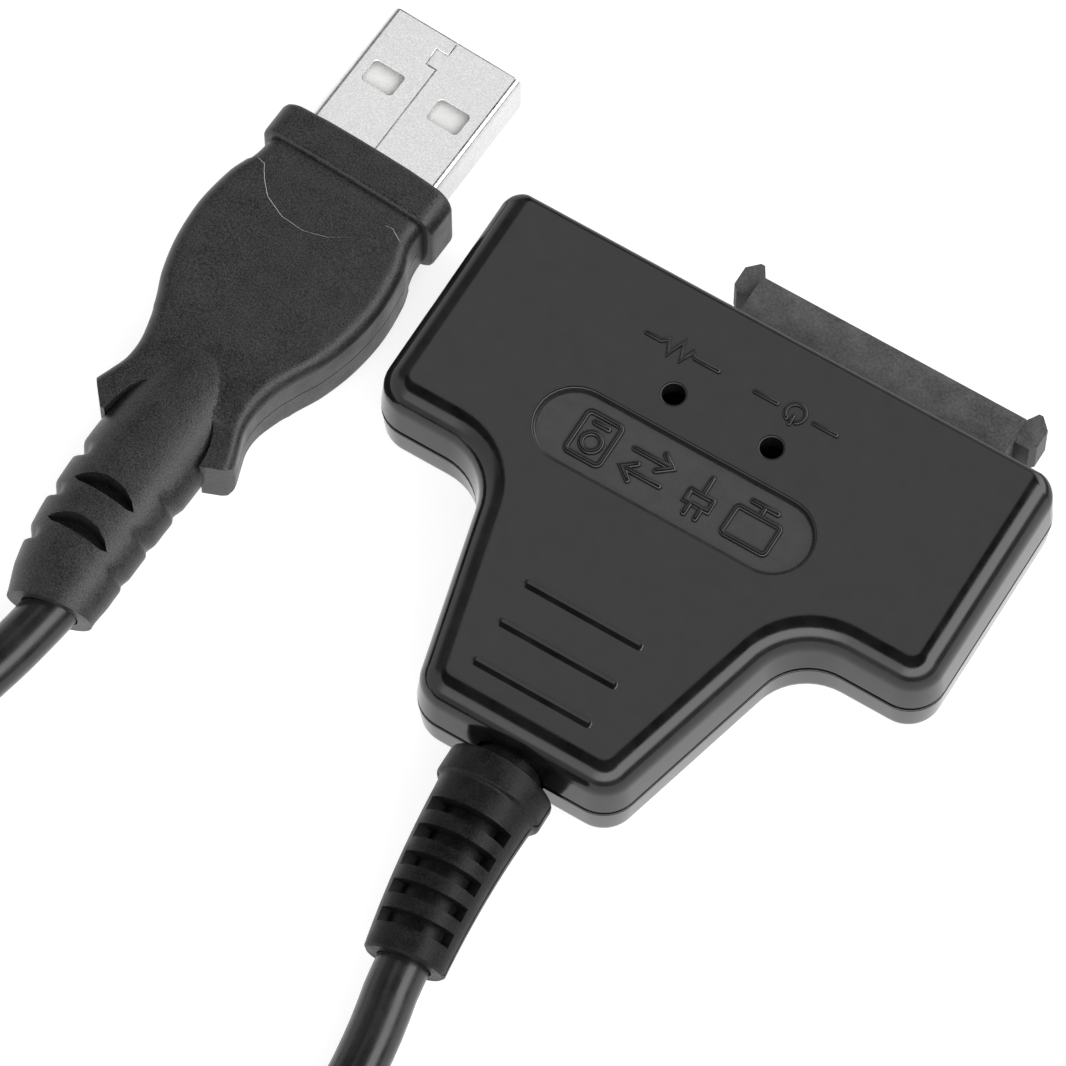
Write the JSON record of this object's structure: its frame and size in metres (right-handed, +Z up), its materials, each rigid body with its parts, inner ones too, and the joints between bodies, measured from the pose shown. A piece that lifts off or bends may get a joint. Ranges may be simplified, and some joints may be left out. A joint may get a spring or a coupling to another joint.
{
  "type": "usb to sata adapter",
  "caption": "Flat T-shaped adapter housing with a slimline SATA receptacle at its wide end and a short cord with strain reliefs to a USB A plug.",
  "frame": {"origin": "bottom centre of the bounding box of the housing with its receptacle, without the cord and the plug", "axes": "+X across the housing's wide end, +Y from the strain relief towards the receptacle's mouth, +Z up through the housing's ribbed top face"},
  "size_m": [0.0822, 0.1478, 0.01],
  "materials": {
    "housing_plastic": "satin-gloss moulded black",
    "receptacle_plastic": "matte dark grey, glass-filled",
    "relief_rubber": "satin black flexible moulding",
    "plug_rubber": "fine-grained black flexible moulding",
    "cord_jacket": "smooth satin black",
    "tie_plastic": "matte black",
    "contact_gold": "gold plated",
    "shell_steel": "nickel-plated folded sheet",
    "crystal_steel": "drawn steel can",
    "insulator_plastic": "matte white",
    "inner_mould_plastic": "matte translucent white",
    "board_laminate": "green solder mask",
    "chip_resin": "matte black resin",
    "inductor_ferrite": "matte dark grey",
    "capacitor_ceramic": "matte tan",
    "led_lens": "clear lens over a pale body",
    "core_red": "red insulation",
    "core_white": "white insulation",
    "core_green": "green insulation",
    "core_black": "black insulation"
  },
  "bodies": {
    "root": {"upper_shell": "housing_plastic", "lower_shell": "housing_plastic", "circuit_board": "board_laminate", "receptacle_housing": "receptacle_plastic", "signal_contact_1": "contact_gold", "signal_contact_2": "contact_gold", "signal_contact_3": "contact_gold", "signal_contact_4": "contact_gold", "signal_contact_5": "contact_gold", "signal_contact_6": "contact_gold", "signal_contact_7": "contact_gold", "power_contact_1": "contact_gold", "power_contact_2": "contact_gold", "power_contact_3": "contact_gold", "power_contact_4": "contact_gold", "power_contact_5": "contact_gold", "power_contact_6": "contact_gold", "bridge_chip": "chip_resin", "memory_chip": "chip_resin", "voltage_regulator": "chip_resin", "crystal": "crystal_steel", "inductor": "inductor_ferrite", "access_led": "led_lens", "power_led": "led_lens", "capacitor_1": "capacitor_ceramic", "capacitor_2": "capacitor_ceramic", "capacitor_3": "capacitor_ceramic", "capacitor_4": "capacitor_ceramic", "resistor_1": "chip_resin", "resistor_2": "chip_resin", "resistor_3": "chip_resin", "resistor_4": "chip_resin", "head_strain_relief": "relief_rubber", "core_power": "core_red", "core_data_minus": "core_white", "core_data_plus": "core_green", "core_ground": "core_black", "cable_from_head": "cord_jacket", "cable_coil": "cord_jacket", "cable_to_plug": "cord_jacket", "coil_tie": "tie_plastic", "plug_overmould": "plug_rubber", "plug_shell": "shell_steel", "plug_insulator": "insulator_plastic", "plug_contact_1": "contact_gold", "plug_contact_2": "contact_gold", "plug_contact_3": "contact_gold", "plug_contact_4": "contact_gold", "plug_inner_mould": "inner_mould_plastic"}
  },
  "joints": []
}
